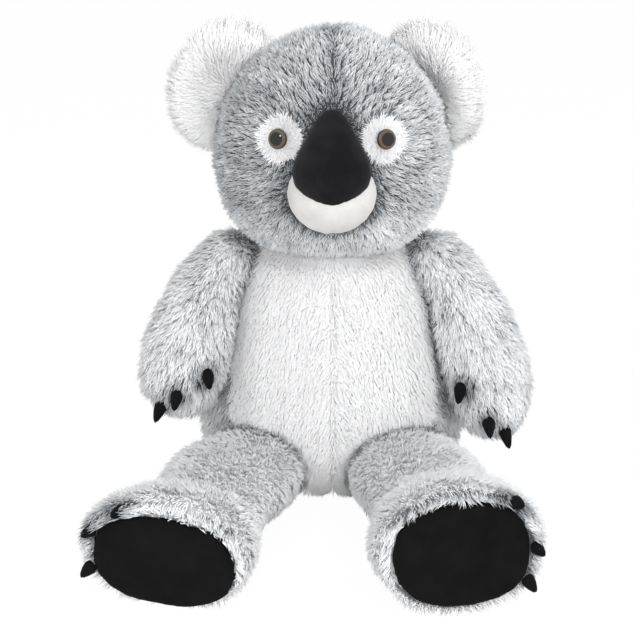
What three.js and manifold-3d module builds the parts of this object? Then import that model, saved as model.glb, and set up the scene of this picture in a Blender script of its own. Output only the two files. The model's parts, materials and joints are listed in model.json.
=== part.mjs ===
// A large sitting plush koala: sewn plush panels over polyester filling, with plastic safety eyes.
// Millimetres, +Z up. The face looks along -Y and the toy's own left side is +X.
// The origin is the middle of the flat seat that the toy rests on.
import * as THREE from "three";
import { mergeVertices } from "three/addons/utils/BufferGeometryUtils.js";
import Module from "manifold-3d";

const wasm = await Module();
wasm.setup();

const degrees = THREE.MathUtils.degToRad;
const vector = (x, y, z) => new THREE.Vector3(x, y, z);

// Sewing and clearances
const PANEL_WALL = 12; // backing cloth with its standing pile
const SEAM_GAP = 0.3; // between two pieces that touch
const FILL_GAP = 0.7; // between a panel's back and its loose filling
const SEAT_CLEARANCE = 1; // between a limb's rounded root and the seat that it turns in
const OVERRUN = 900; // how far cutting shapes reach past what they cut
const WELD = 0.0001; // corners nearer than this are one
const PLUG_SIDES = 16; // of round holes and their discs

// Body
const BODY_WIDTH = 424;
const BODY_DEPTH = 316;
const BODY_HEIGHT = 404;
const BODY_LEAN = 8; // how far back the top sits behind the seat
const SEAT_FLAT = 4; // how deep the filling settles flat on the floor
const BELLY_WIDTH = 312;
const BELLY_TOP = 392;
const SEAT_PANEL_WIDTH = 240;
const SEAT_PANEL_DEPTH = 150;
const SEAT_PANEL_BACK = 24; // from the origin to the panel's middle

// Head, which turns a little to the toy's right on a rounded neck
const HEAD_WIDTH = 366;
const HEAD_DEPTH = 318;
const HEAD_HEIGHT = 352;
const HEAD_FORWARD = 28;
const HEAD_TURN = degrees(-1);
const NECK_RADIUS = 98;
const NECK_HEIGHT = 342;
const HEAD_LIFT = 37; // from the middle of the neck's ball up to the head's underside
const HEAD_BOTTOM = NECK_HEIGHT + HEAD_LIFT;
const NOD_FORWARD = degrees(6);
const NOD_BACK = degrees(10);
const HEAD_CLEARANCE = 7; // between the head's underside and the shoulders at the ends of the nod

// Arms
const SHOULDER_RADIUS = 56;
const SHOULDER_SINK = 56; // how deep the rounded root sits in the body's side
const SHOULDER_HEIGHT = 355;
const SHOULDER_FORWARD = 18;
const ARM_WIDTH = 144;
const ARM_THICKNESS = 114;
const ARM_CLEARANCE = 9; // between the arm's inner face and the body's side
const RIGHT_ARM_REACH = 261;
const LEFT_ARM_REACH = 298;

// Legs
const HIP_RADIUS = 60;
const HIP_HALF_WIDTH = 90; // the thigh's root is an oval, as seen from above
const HIP_HEIGHT = 60;
const HIP_FORWARD = 112;
const HIP_DROP = degrees(45); // how far a lifted toy's leg hangs below its sitting pose
const HIP_LIFT = degrees(3);
const THIGH_WIDTH = 202;
const THIGH_REACH = 110; // how far in front of the hip the body leaves room for the thigh
const THIGH_SPREAD = 14; // and how much wider than the hip that room is there, on each side
const RIGHT_HIP_OUT = 128;
const RIGHT_LEG_LENGTH = 380;
const RIGHT_FOOT_WIDTH = 246;
const RIGHT_FOOT_HEIGHT = 162;
const LEFT_HIP_OUT = 112;
const LEFT_LEG_LENGTH = 390;
const LEFT_FOOT_WIDTH = 242;
const LEFT_FOOT_HEIGHT = 186;

// Face
const NOSE_WIDTH = 114;
const NOSE_THICKNESS = 92;
const NOSE_TOP = 624;
const NOSE_TOP_SINK = 4; // the top of the nose's middle line, inside the face
const NOSE_TIP = 486;
const NOSE_TIP_REACH = 28; // and its tip, in front of the face
const SNOUT_WIDTH = 130;
const SNOUT_HEIGHT = 110;
const SNOUT_DEPTH = 116;
const SNOUT_CENTRE = 497;
const SNOUT_SINK = 14;
const SNOUT_SIDES = 18;
const SNOUT_RINGS = 12;
const FACE_INSET = 8; // how deep nose and muzzle are sewn into the pile
const EYE_SPACING = 159;
const EYE_HEIGHT = 581;
const EYE_RADIUS = 15;
const EYE_DOME = 9;
const EYE_SIDES = 16;
const DOME_STEPS = 4;
const SHANK_RADIUS = 3.5;
const SHANK_LENGTH = 26;
const SHANK_PLAY = 0.4;
const WASHER_RADIUS = 12;
const WASHER_THICKNESS = 3;
const WASHER_BITE = 0.6; // how deep the washer presses into the patch's back
const PATCH_RADIUS = 33;
const PATCH_RECESS = 5; // the patch's pile is shorter than the face's

// Ears
const EAR_WIDTH = 194;
const EAR_HEIGHT = 208;
const EAR_THICKNESS = 62;
const EAR_DISH = 14; // how far the front's middle lies behind its rim
const EAR_CENTRE = 625;
const EAR_BACK = 34; // behind the middle of the head
const EAR_SIDES = 20;
const RIGHT_EAR_OUT = 2; // from the head's side to the middle of the whole ear
const LEFT_EAR_OUT = -14;

// Claws and soles
const CLAW_LENGTH = 25;
const CLAW_RADIUS = 10;
const CLAW_ROOT = 9;
const CLAW_SIDES = 8;
const HAND_CLAW_DROOP = 0.9; // how much a claw leans along its limb, against straight out
const TOE_CLAW_LEAN = 1.2;
const TOE_CLAW_DROOP = 0.6;
const FOOT_RIM_AT = 0.992; // share of the leg at which the foot rounds over to its sole
const SOLE_UNDER_RIM = 12; // from the sole to the foot's edge, above and below it
const RIGHT_SOLE_HEIGHT = 79;
const RIGHT_SOLE_RIM = 14; // from the sole to the foot's edge, at both ends of it
const RIGHT_SOLE_DROP = 16; // from the middle of the foot down to the middle of the sole
const LEFT_SOLE_HEIGHT = 92;
const LEFT_SOLE_RIM = 20;
const LEFT_SOLE_DROP = 8;
const SOLE_BEVEL = 3;
const SOLE_CROWN = 3;
const SOLE_SIDES = 24;
const SOLE_FULLNESS = 2.5; // 2 is a true oval, and more fills its corners

// What differs between the toy's right and left side as it sits
const SIDES = [
  {
    name: "right",
    sign: -1,
    armReach: RIGHT_ARM_REACH,
    armSwing: degrees(10),
    handClaws: [
      [0.58, degrees(52)],
      [0.695, degrees(88)],
      [0.79, degrees(120)],
    ],
    hipOut: RIGHT_HIP_OUT,
    legSpread: degrees(16),
    legLength: RIGHT_LEG_LENGTH,
    footWidth: RIGHT_FOOT_WIDTH,
    footHeight: RIGHT_FOOT_HEIGHT,
    soleHeight: RIGHT_SOLE_HEIGHT,
    soleRim: RIGHT_SOLE_RIM,
    soleDrop: RIGHT_SOLE_DROP,
    footRoll: degrees(-2),
    toeClaws: [degrees(200), degrees(156), degrees(123)],
    earOut: RIGHT_EAR_OUT,
    earTurn: degrees(8),
  },
  {
    name: "left",
    sign: 1,
    armReach: LEFT_ARM_REACH,
    armSwing: 0,
    handClaws: [
      [0.55, degrees(130)],
      [0.7, degrees(101)],
      [0.79, degrees(72)],
    ],
    hipOut: LEFT_HIP_OUT,
    legSpread: degrees(8.4),
    legLength: LEFT_LEG_LENGTH,
    footWidth: LEFT_FOOT_WIDTH,
    footHeight: LEFT_FOOT_HEIGHT,
    soleHeight: LEFT_SOLE_HEIGHT,
    soleRim: LEFT_SOLE_RIM,
    soleDrop: LEFT_SOLE_DROP,
    footRoll: degrees(3),
    toeClaws: [degrees(-34), degrees(-1), degrees(47)],
    earOut: LEFT_EAR_OUT,
    earTurn: degrees(-28),
  },
];

// Rings and sides of a form's skin and of the plainer faces inside it, and a ball's share of its sides
const BODY_MESH = {
  skin: { rings: 12, sides: 20, ballShare: 1 },
  inside: { rings: 9, sides: 12, ballShare: 0.6 },
};
const HEAD_MESH = {
  skin: { rings: 12, sides: 20, ballShare: 1 },
  inside: { rings: 9, sides: 12, ballShare: 0.7 },
};
const ARM_MESH = {
  skin: { rings: 10, sides: 10, ballShare: 1 },
  inside: { rings: 6, sides: 6, ballShare: 0.5 },
};
const LEG_MESH = {
  skin: { rings: 13, sides: 14, ballShare: 1 },
  inside: { rings: 13, sides: 7, ballShare: 0.5 },
};

// Colours
const cloth = (color) => new THREE.MeshStandardMaterial({ color, roughness: 0.95, metalness: 0 });
const plastic = (color, roughness) => new THREE.MeshStandardMaterial({ color, roughness, metalness: 0 });
const frostedGrey = cloth(0xa4a9ab);
const whitePile = cloth(0xf0f0f2);
const creamVelour = cloth(0xe9e7e4);
const blackVelour = cloth(0x17171b);
const fibreFill = cloth(0xf7f6f2);
const eyeBrown = plastic(0x4a3420, 0.08);
const washerWhite = plastic(0xdcdcd8, 0.45);

// Solids from closed geometries, and back again to draw them
function solid(geometry) {
  const bare = geometry.clone();
  bare.deleteAttribute("normal");
  bare.deleteAttribute("uv");
  const merged = mergeVertices(bare, WELD);
  return new wasm.Manifold(
    new wasm.Mesh({
      numProp: 3,
      vertProperties: merged.attributes.position.array,
      triVerts: new Uint32Array(merged.index.array),
    }),
  );
}

function geometryOf(made) {
  const mesh = made.getMesh();
  const geometry = new THREE.BufferGeometry();
  geometry.setAttribute("position", new THREE.BufferAttribute(mesh.vertProperties, 3));
  geometry.setIndex(new THREE.BufferAttribute(mesh.triVerts, 1));
  return geometry;
}

function placed(geometry, at, axis = vector(0, 1, 0)) {
  const turn = new THREE.Quaternion().setFromUnitVectors(vector(0, 1, 0), axis.clone().normalize());
  return solid(geometry.applyQuaternion(turn).translate(at.x, at.y, at.z));
}

// A ball, grown by some thickness, whose poles lie on the sideways line that it turns about. It may be
// wider than it is high. Round that line it has sides enough to turn freely in a seat with as many.
function ball(centre, radius, grow, { ballShare }, halfWidth = radius) {
  const halfTurns = Math.PI / Math.acos(radius / (radius + SEAT_CLEARANCE));
  const sides = Math.ceil(halfTurns * ballShare);
  const sphere = new THREE.SphereGeometry(1, sides, Math.ceil(sides / 3)).rotateZ(Math.PI / 2);
  sphere.scale(halfWidth + grow, radius + grow, radius + grow);
  return solid(sphere.translate(centre.x, centre.y, centre.z));
}

// Everything past a point, in a direction
function beyond(point, direction) {
  const box = new THREE.BoxGeometry(2 * OVERRUN, 2 * OVERRUN, 2 * OVERRUN);
  return placed(box.translate(0, OVERRUN, 0), point, direction);
}

// A cylinder through a point, from one depth to another along an axis
function plug(point, axis, radius, from, to) {
  const cylinder = new THREE.CylinderGeometry(radius, radius, to - from, PLUG_SIDES);
  return placed(cylinder.translate(0, (from + to) / 2, 0), point, axis);
}

// A solid turned about the sideways line through a pivot
function pitched(made, pivot, angle) {
  return made
    .translate([-pivot.x, -pivot.y, -pivot.z])
    .rotate([THREE.MathUtils.radToDeg(angle), 0, 0])
    .translate([pivot.x, pivot.y, pivot.z]);
}

// A stuffed form is a stack of oval rings along a spine. Each row of its table is a ring to pass through:
// share along the spine, share of the width, share of the depth, from one closed end to the other.
class StuffedForm {
  constructor({ rowShares, spine, width, depth, roll = () => 0 }) {
    this.profile = new THREE.CatmullRomCurve3(rowShares.map((row) => vector(...row)));
    this.spine = spine;
    this.halfWidth = width / 2;
    this.halfDepth = depth / 2;
    this.roll = roll;
  }

  // The profile's share at which the skin reaches a share of the spine
  shareAt(along) {
    let low = 0;
    let high = 1;
    for (let step = 0; step < 30; step += 1) {
      const middle = (low + high) / 2;
      if (this.profile.getPoint(middle).x < along) low = middle;
      else high = middle;
    }
    return low;
  }

  point(share, angle) {
    const row = this.profile.getPoint(THREE.MathUtils.clamp(share, 0, 1));
    const along = THREE.MathUtils.clamp(row.x, 0, 1);
    const forward = this.spine.getTangentAt(along);
    const side = vector(1, 0, 0).addScaledVector(forward, -forward.x).normalize();
    side.applyAxisAngle(forward, this.roll(along));
    const up = forward.clone().cross(side);
    return this.spine
      .getPointAt(along)
      .addScaledVector(side, Math.max(row.y, 0) * this.halfWidth * Math.cos(angle))
      .addScaledVector(up, Math.max(row.z, 0) * this.halfDepth * Math.sin(angle));
  }

  normal(share, angle) {
    const step = 0.01;
    const along = this.point(share + step, angle).sub(this.point(share - step, angle));
    const round = this.point(share, angle + step).sub(this.point(share, angle - step));
    return round.cross(along).normalize();
  }

  // The closed skin, moved outwards by grow
  geometry({ rings, sides }, grow) {
    const points = [this.point(0, 0)];
    for (let ring = 1; ring < rings; ring += 1) {
      for (let side = 0; side < sides; side += 1) {
        points.push(this.point(ring / rings, (2 * Math.PI * side) / sides));
      }
    }
    points.push(this.point(1, 0));
    const last = points.length - 1;
    const faces = [];
    for (let side = 0; side < sides; side += 1) {
      const next = (side + 1) % sides;
      faces.push(0, 1 + next, 1 + side);
      faces.push(last, last - sides + side, last - sides + next);
      for (let low = 1; low + sides < last; low += sides) {
        const high = low + sides;
        faces.push(low + side, low + next, high + next, low + side, high + next, high + side);
      }
    }
    const geometry = new THREE.BufferGeometry().setFromPoints(points);
    geometry.setIndex(faces);
    geometry.computeVertexNormals();
    const { position, normal } = geometry.attributes;
    points.forEach((point, i) => {
      point.addScaledVector(vector().fromBufferAttribute(normal, i), grow);
      position.setXYZ(i, point.x, point.y, point.z);
    });
    return geometry;
  }

  solid(mesh, grow = 0) {
    return solid(this.geometry(mesh, grow));
  }
}

// A panel's shell round its filling. shape(grow, mesh) makes the form at a distance from its true skin.
function stuffed(shape, mesh) {
  const cavity = shape(-PANEL_WALL, mesh.inside);
  return {
    shell: shape(0, mesh.skin).subtract(cavity),
    fill: shape(-PANEL_WALL - FILL_GAP, mesh.inside),
  };
}

// The toy, with the head in a group of its own
const koala = new THREE.Group();
const headGroup = new THREE.Group();
headGroup.rotation.z = HEAD_TURN;
koala.add(headGroup);

function add(name, made, material, group = koala) {
  const mesh = new THREE.Mesh(geometryOf(made), material);
  mesh.name = name;
  group.add(mesh);
}

const halfOf = (sign) => beyond(vector((sign * SEAM_GAP) / 2, 0, 0), vector(sign, 0, 0));
const aboveFloor = beyond(vector(0, 0, 0), vector(0, 0, 1));
const neck = vector(0, 0, NECK_HEIGHT);

// Body form: a pear that settles flat on the floor
const body = new StuffedForm({
  rowShares: [
    [0, 0, 0],
    [0.001, 0.5, 0.5],
    [0.02, 0.83, 0.83],
    [0.09, 0.945, 0.94],
    [0.2, 0.995, 1],
    [0.33, 1, 0.99],
    [0.48, 0.945, 0.92],
    [0.64, 0.87, 0.83],
    [0.78, 0.8, 0.75],
    [0.9, 0.73, 0.65],
    [0.97, 0.56, 0.51],
    [0.999, 0.31, 0.29],
    [1, 0, 0],
  ],
  spine: new THREE.LineCurve3(vector(0, 0, -SEAT_FLAT), vector(0, BODY_LEAN, BODY_HEIGHT)),
  width: BODY_WIDTH,
  depth: BODY_DEPTH,
});

// Limb roots
function shoulderOf({ sign }) {
  const side = body.point(body.shareAt(SHOULDER_HEIGHT / BODY_HEIGHT), sign > 0 ? 0 : Math.PI);
  const out = side.x + sign * (SHOULDER_RADIUS - SHOULDER_SINK);
  return vector(out, -SHOULDER_FORWARD, SHOULDER_HEIGHT);
}
const hipOf = ({ sign, hipOut }) => vector(sign * hipOut, -HIP_FORWARD, HIP_HEIGHT);

// Where the middle of a leg's sole is, and the way that the leg points at an angle above its sitting pose
function soleOf(side) {
  const { sign, legSpread, legLength, soleHeight } = side;
  const flat = vector(sign * Math.sin(legSpread), -Math.cos(legSpread), 0);
  return hipOf(side).addScaledVector(flat, legLength).setZ(soleHeight);
}
function legDirection(side, lift) {
  return soleOf(side).sub(hipOf(side)).normalize().applyAxisAngle(vector(-1, 0, 0), lift);
}

// The room that a thigh sweeps through: a wedge between balls at its root and at both ends of its range
function legRoom(side, grow, mesh) {
  const centres = [hipOf(side)];
  for (const lift of [-HIP_DROP, HIP_LIFT]) {
    const knee = hipOf(side).addScaledVector(legDirection(side, lift), THIGH_REACH);
    centres.push(knee.clone().setX(knee.x - THIGH_SPREAD), knee.clone().setX(knee.x + THIGH_SPREAD));
  }
  return wasm.Manifold.hull(centres.map((centre) => ball(centre, HIP_RADIUS, grow, mesh, HIP_HALF_WIDTH)));
}

// Body with its neck dome, less the seats of the four limbs
function bodyShape(grow, mesh) {
  const dome = ball(neck, NECK_RADIUS, grow, mesh).rotate([0, 0, THREE.MathUtils.radToDeg(HEAD_TURN)]);
  let made = body.solid(mesh, grow).add(dome);
  for (const side of SIDES) {
    made = made
      .subtract(ball(shoulderOf(side), SHOULDER_RADIUS, SEAT_CLEARANCE - grow, mesh))
      .subtract(legRoom(side, SEAT_CLEARANCE - grow, mesh));
  }
  return made.intersect(beyond(vector(0, 0, -grow), vector(0, 0, 1)));
}

// The white belly panel's outline, seen from the front
const bellyShares = [
  [0.12, 0.037],
  [0.24, 0.05],
  [0.42, 0.085],
  [0.72, 0.17],
  [0.95, 0.28],
  [1, 0.42],
  [0.98, 0.6],
  [0.9, 0.76],
  [0.81, 0.92],
  [0.78, 1],
];
function bellyCut(grow) {
  const flank = new THREE.SplineCurve(
    bellyShares.map(([across, up]) => new THREE.Vector2((across * BELLY_WIDTH) / 2, up * BELLY_TOP)),
  );
  const edge = flank.getPoints(2 * bellyShares.length).map((point, i, all) => {
    const along = flank.getTangent(i / (all.length - 1));
    return new THREE.Vector2(point.x + grow * along.y, point.y - grow * along.x);
  });
  const mirrored = edge.map((point) => new THREE.Vector2(-point.x, point.y)).reverse();
  const outline = new THREE.Shape([...edge, ...mirrored]);
  const prism = new THREE.ExtrudeGeometry(outline, { depth: OVERRUN, bevelEnabled: false });
  return solid(prism.rotateX(Math.PI / 2));
}

// The oval panel under the body, seen from below
function seatCut(grow) {
  const prism = new THREE.CylinderGeometry(1, 1, 4 * PANEL_WALL, PLUG_SIDES);
  prism.scale(SEAT_PANEL_WIDTH / 2 + grow, 1, SEAT_PANEL_DEPTH / 2 + grow);
  return placed(prism, vector(0, SEAT_PANEL_BACK, 0), vector(0, 0, 1));
}

function buildBody() {
  const { shell, fill } = stuffed(bodyShape, BODY_MESH);
  add("seat_panel", shell.intersect(seatCut(0)), frostedGrey);
  const belly = shell.intersect(bellyCut(0));
  const back = shell.subtract(bellyCut(SEAM_GAP)).subtract(seatCut(SEAM_GAP));
  for (const { name, sign } of SIDES) {
    add(`belly_panel_${name}`, belly.intersect(halfOf(sign)), whitePile);
    add(`back_panel_${name}`, back.intersect(halfOf(sign)), frostedGrey);
  }
  add("body_filling", fill, fibreFill);
}

// Head form, wider at the cheeks than at the crown
const head = new StuffedForm({
  rowShares: [
    [0, 0, 0],
    [0.012, 0.36, 0.36],
    [0.06, 0.66, 0.65],
    [0.15, 0.85, 0.84],
    [0.27, 0.955, 0.94],
    [0.4, 1, 1],
    [0.53, 0.985, 1],
    [0.66, 0.92, 0.95],
    [0.78, 0.79, 0.83],
    [0.89, 0.58, 0.62],
    [0.965, 0.32, 0.35],
    [0.995, 0.12, 0.13],
    [1, 0, 0],
  ],
  spine: new THREE.LineCurve3(
    vector(0, -HEAD_FORWARD, HEAD_BOTTOM),
    vector(0, -HEAD_FORWARD, HEAD_BOTTOM + HEAD_HEIGHT),
  ),
  width: HEAD_WIDTH,
  depth: HEAD_DEPTH,
});
const FRONT = -Math.PI / 2;
const headShareAt = (height) => head.shareAt((height - HEAD_BOTTOM) / HEAD_HEIGHT);
const facePoint = (height) => head.point(headShareAt(height), FRONT);

// Head less its seat on the neck, and less what the body sweeps as the head nods
function headShape(grow, mesh) {
  const seat = ball(neck, NECK_RADIUS, SEAT_CLEARANCE - grow, mesh);
  let made = head.solid(mesh, grow).subtract(seat);
  const turn = [0, 0, -THREE.MathUtils.radToDeg(HEAD_TURN)];
  const shoulders = body.solid(BODY_MESH.inside, HEAD_CLEARANCE - grow).rotate(turn);
  for (const nod of [-NOD_BACK, NOD_FORWARD]) {
    made = made.subtract(pitched(shoulders, neck, -nod));
  }
  return made;
}

// Nose: narrow at the bridge, broad above a blunt tip
const nose = new StuffedForm({
  rowShares: [
    [0, 0, 0],
    [0.01, 0.16, 0.16],
    [0.06, 0.32, 0.34],
    [0.16, 0.46, 0.5],
    [0.3, 0.66, 0.68],
    [0.44, 0.85, 0.85],
    [0.55, 0.97, 0.96],
    [0.64, 1, 1],
    [0.74, 0.95, 0.97],
    [0.83, 0.79, 0.85],
    [0.91, 0.56, 0.64],
    [0.965, 0.33, 0.4],
    [0.993, 0.13, 0.17],
    [1, 0, 0],
  ],
  spine: new THREE.LineCurve3(
    facePoint(NOSE_TOP).add(vector(0, NOSE_TOP_SINK, 0)),
    facePoint(NOSE_TIP).add(vector(0, -NOSE_TIP_REACH, 0)),
  ),
  width: NOSE_WIDTH,
  depth: NOSE_THICKNESS,
});
const NOSE_MESH = { rings: 11, sides: 16 };

function snoutSolid(grow) {
  const sphere = new THREE.SphereGeometry(1, SNOUT_SIDES, SNOUT_RINGS);
  sphere.scale(SNOUT_WIDTH / 2 + grow, SNOUT_DEPTH / 2 + grow, SNOUT_HEIGHT / 2 + grow);
  return placed(sphere, facePoint(SNOUT_CENTRE).add(vector(0, SNOUT_SINK, 0)));
}

// An eye's seat: the point on its patch and the way it looks
function eyeSeat({ sign }) {
  const share = headShareAt(EYE_HEIGHT);
  const ringHalf = head.point(share, 0).x;
  const angle = -Math.acos((sign * EYE_SPACING) / 2 / ringHalf);
  const axis = head.normal(share, angle);
  return { axis, at: head.point(share, angle).addScaledVector(axis, -PATCH_RECESS) };
}

function eyeGeometry() {
  const profile = [new THREE.Vector2(0, -SHANK_LENGTH)];
  profile.push(new THREE.Vector2(SHANK_RADIUS, -SHANK_LENGTH), new THREE.Vector2(SHANK_RADIUS, SEAM_GAP));
  for (let step = 0; step < DOME_STEPS; step += 1) {
    const angle = (Math.PI / 2) * (step / DOME_STEPS);
    profile.push(new THREE.Vector2(EYE_RADIUS * Math.cos(angle), SEAM_GAP + EYE_DOME * Math.sin(angle)));
  }
  profile.push(new THREE.Vector2(0, SEAM_GAP + EYE_DOME));
  return new THREE.LatheGeometry(profile, EYE_SIDES);
}

function washerGeometry() {
  const bore = SHANK_RADIUS + SHANK_PLAY;
  const profile = [
    [bore, 0],
    [WASHER_RADIUS, 0],
    [WASHER_RADIUS, WASHER_THICKNESS],
    [bore, WASHER_THICKNESS],
    [bore, 0],
  ].map((corner) => new THREE.Vector2(...corner));
  return new THREE.LatheGeometry(profile, EYE_SIDES);
}

// An ear: a thick lens, dished in front and cut off where it meets the head. Each row of its profile,
// from the middle of the back to the middle of the front, has shares of half its width, of half its
// thickness and of the dish's depth.
const earShares = [
  [0, -1, 0],
  [0.45, -0.97, 0],
  [0.82, -0.78, 0],
  [0.96, -0.45, 0],
  [1, 0, 0],
  [0.96, 0.5, 0],
  [0.86, 0.86, 0],
  [0.7, 1, 0],
  [0.35, 1, 0.8],
  [0, 1, 1],
];
function earSolid({ sign, earOut, earTurn }, front) {
  const outline = earShares.map(([out, up, dish]) => {
    const height = (up * EAR_THICKNESS) / 2 - dish * EAR_DISH;
    return new THREE.Vector2((out * EAR_WIDTH) / 2, height);
  });
  const lens = new THREE.LatheGeometry(outline, EAR_SIDES);
  lens.scale(1, 1, EAR_HEIGHT / EAR_WIDTH).rotateX(Math.PI);
  const facing = vector(0, front ? -1 : 1, 0);
  const side = head.point(headShareAt(EAR_CENTRE), sign > 0 ? 0 : Math.PI);
  return solid(lens)
    .intersect(beyond(facing.clone().multiplyScalar(SEAM_GAP / 2), facing))
    .rotate([0, 0, THREE.MathUtils.radToDeg(earTurn)])
    .translate([side.x + sign * earOut, EAR_BACK - HEAD_FORWARD, EAR_CENTRE]);
}

function buildHead() {
  const { shell, fill } = stuffed(headShape, HEAD_MESH);
  const faceFloor = head.solid(HEAD_MESH.skin, -FACE_INSET);
  const noseSolid = nose.solid(NOSE_MESH);
  const noseRoom = nose.solid(NOSE_MESH, SEAM_GAP);
  let skin = shell.subtract(noseRoom.subtract(faceFloor)).subtract(snoutSolid(SEAM_GAP).subtract(faceFloor));
  let filling = fill;
  const patchFloor = head.solid(HEAD_MESH.skin, -PANEL_WALL);
  const patchTop = head.solid(HEAD_MESH.skin, -PATCH_RECESS);
  const fillTop = head.solid(HEAD_MESH.skin, -PANEL_WALL - FILL_GAP);
  for (const side of SIDES) {
    const { at, axis } = eyeSeat(side);
    const washerTop = PATCH_RECESS - PANEL_WALL + WASHER_BITE;
    const hole = plug(at, axis, SHANK_RADIUS + SHANK_PLAY, -SHANK_LENGTH - SEAM_GAP, PANEL_WALL);
    const pocket = plug(at, axis, WASHER_RADIUS + SEAM_GAP, -SHANK_LENGTH - SEAM_GAP, washerTop);
    const disc = plug(at, axis, PATCH_RADIUS, -PANEL_WALL, PANEL_WALL);
    const patch = patchTop.intersect(disc).subtract(patchFloor).subtract(noseRoom);
    skin = skin.subtract(plug(at, axis, PATCH_RADIUS + SEAM_GAP, -2 * PANEL_WALL, PANEL_WALL));
    filling = filling.subtract(pocket).subtract(disc.subtract(fillTop));
    const washerAt = at.clone().addScaledVector(axis, washerTop - SEAM_GAP - WASHER_THICKNESS);
    add(`eye_patch_${side.name}`, patch.subtract(hole).subtract(pocket), whitePile, headGroup);
    add(`eye_${side.name}`, placed(eyeGeometry(), at, axis), eyeBrown, headGroup);
    add(`eye_washer_${side.name}`, placed(washerGeometry(), washerAt, axis), washerWhite, headGroup);
  }
  for (const { name, sign } of SIDES) {
    add(`head_panel_${name}`, skin.intersect(halfOf(sign)), frostedGrey, headGroup);
  }
  add("head_filling", filling, fibreFill, headGroup);
  const faceBed = head.solid(HEAD_MESH.skin, SEAM_GAP - FACE_INSET);
  add("nose", noseSolid.subtract(faceBed), blackVelour, headGroup);
  add("muzzle", snoutSolid(0).subtract(noseRoom).subtract(faceBed), creamVelour, headGroup);
  const headRoom = head.solid(HEAD_MESH.skin, SEAM_GAP);
  for (const side of SIDES) {
    add(`ear_front_${side.name}`, earSolid(side, true).subtract(headRoom), whitePile, headGroup);
    add(`ear_back_${side.name}`, earSolid(side, false).subtract(headRoom), whitePile, headGroup);
  }
}

// A claw: a small stuffed cone with a blunt tip, seated on a limb's skin
const clawShares = [
  [1, 0],
  [0.8, 0.4],
  [0.46, 0.78],
  [0, 1],
];
function claw(at, axis, limb) {
  const root = [
    new THREE.Vector2(0, -CLAW_ROOT),
    new THREE.Vector2(clawShares[1][0] * CLAW_RADIUS, -CLAW_ROOT),
  ];
  const cone = clawShares.map(([out, along]) => new THREE.Vector2(out * CLAW_RADIUS, along * CLAW_LENGTH));
  return placed(new THREE.LatheGeometry([...root, ...cone], CLAW_SIDES), at, axis).subtract(limb);
}

// Arms: broad soft paddles that hang from the shoulders and lie against the body
const armSpineShares = [
  [0, 0, 0],
  [0.133, -0.086, -0.177],
  [0.24, -0.171, -0.443],
  [0.304, -0.222, -0.722],
  [0.335, -0.234, -0.892],
];

function armForm(side) {
  const shoulder = shoulderOf(side);
  const points = armSpineShares.map(([out, forward, down]) =>
    vector(side.sign * out, forward, down)
      .multiplyScalar(side.armReach)
      .applyAxisAngle(vector(-1, 0, 0), side.armSwing)
      .add(shoulder),
  );
  return new StuffedForm({
    rowShares: [
      [0, 0, 0],
      [0, 0.76, 0.96],
      [0.12, 0.83, 0.97],
      [0.27, 0.93, 0.99],
      [0.43, 1, 1],
      [0.6, 1, 0.99],
      [0.75, 0.95, 0.94],
      [0.87, 0.8, 0.81],
      [0.95, 0.56, 0.58],
      [0.99, 0.27, 0.28],
      [1, 0, 0],
    ],
    spine: new THREE.CatmullRomCurve3(points),
    width: ARM_WIDTH,
    depth: ARM_THICKNESS,
  });
}

function buildArm(side) {
  const shoulder = shoulderOf(side);
  const form = armForm(side);
  const shape = (grow, mesh) => {
    const root = ball(shoulder, SHOULDER_RADIUS, grow, mesh);
    const torso = body.solid(grow < 0 ? BODY_MESH.inside : BODY_MESH.skin, ARM_CLEARANCE - grow);
    return form.solid(mesh, grow).subtract(torso).add(root);
  };
  const { shell, fill } = stuffed(shape, ARM_MESH);
  const tip = form.spine.getPointAt(1).sub(shoulder);
  const back = vector(1, 0, 0).cross(tip).normalize();
  const seam = (direction) => beyond(shoulder.clone().addScaledVector(direction, SEAM_GAP / 2), direction);
  add(`arm_panel_front_${side.name}`, shell.intersect(seam(back.clone().negate())), frostedGrey);
  add(`arm_panel_back_${side.name}`, shell.intersect(seam(back)), frostedGrey);
  add(`arm_filling_${side.name}`, fill, fibreFill);
  const skin = form.solid(ARM_MESH.skin, SEAM_GAP);
  side.handClaws.forEach(([share, angle], i) => {
    const droop = form.spine.getTangentAt(share).multiplyScalar(HAND_CLAW_DROOP);
    const axis = form.normal(share, angle).add(droop);
    add(`hand_claw_${side.name}_${i + 1}`, claw(form.point(share, angle), axis, skin), blackVelour);
  });
}

// Legs: round thighs that lie on the floor and end in broad feet with flat soles. A row of the thigh has
// shares of the thigh's own width and height. The foot's roll begins and ends at these shares of the leg.
const thighShares = [
  [0, 0, 0],
  [0, 0.8, 0.94],
  [0.1, 0.95, 0.98],
  [0.24, 1, 1],
  [0.4, 0.98, 0.98],
  [0.54, 0.89, 0.92],
];
const footShares = [
  [0.66, 0.77, 0.67],
  [0.77, 0.89, 0.83],
  [0.86, 0.975, 0.95],
  [0.93, 1, 1],
  [0.97, 0.98, 0.98],
  [FOOT_RIM_AT, 0.94, 0.92],
  [1, 0.87, 0.86],
  [1, 0, 0],
];
const footRollShares = [0.4, 0.9];
function legForm(side) {
  const widthShare = THIGH_WIDTH / side.footWidth;
  const heightShare = (2 * HIP_RADIUS) / side.footHeight;
  const thigh = thighShares.map(([along, out, up]) => [along, out * widthShare, up * heightShare]);
  return new StuffedForm({
    rowShares: [...thigh, ...footShares],
    spine: new THREE.LineCurve3(hipOf(side), soleOf(side)),
    width: side.footWidth,
    depth: side.footHeight,
    roll: (along) => side.footRoll * THREE.MathUtils.smoothstep(along, ...footRollShares),
  });
}

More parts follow.
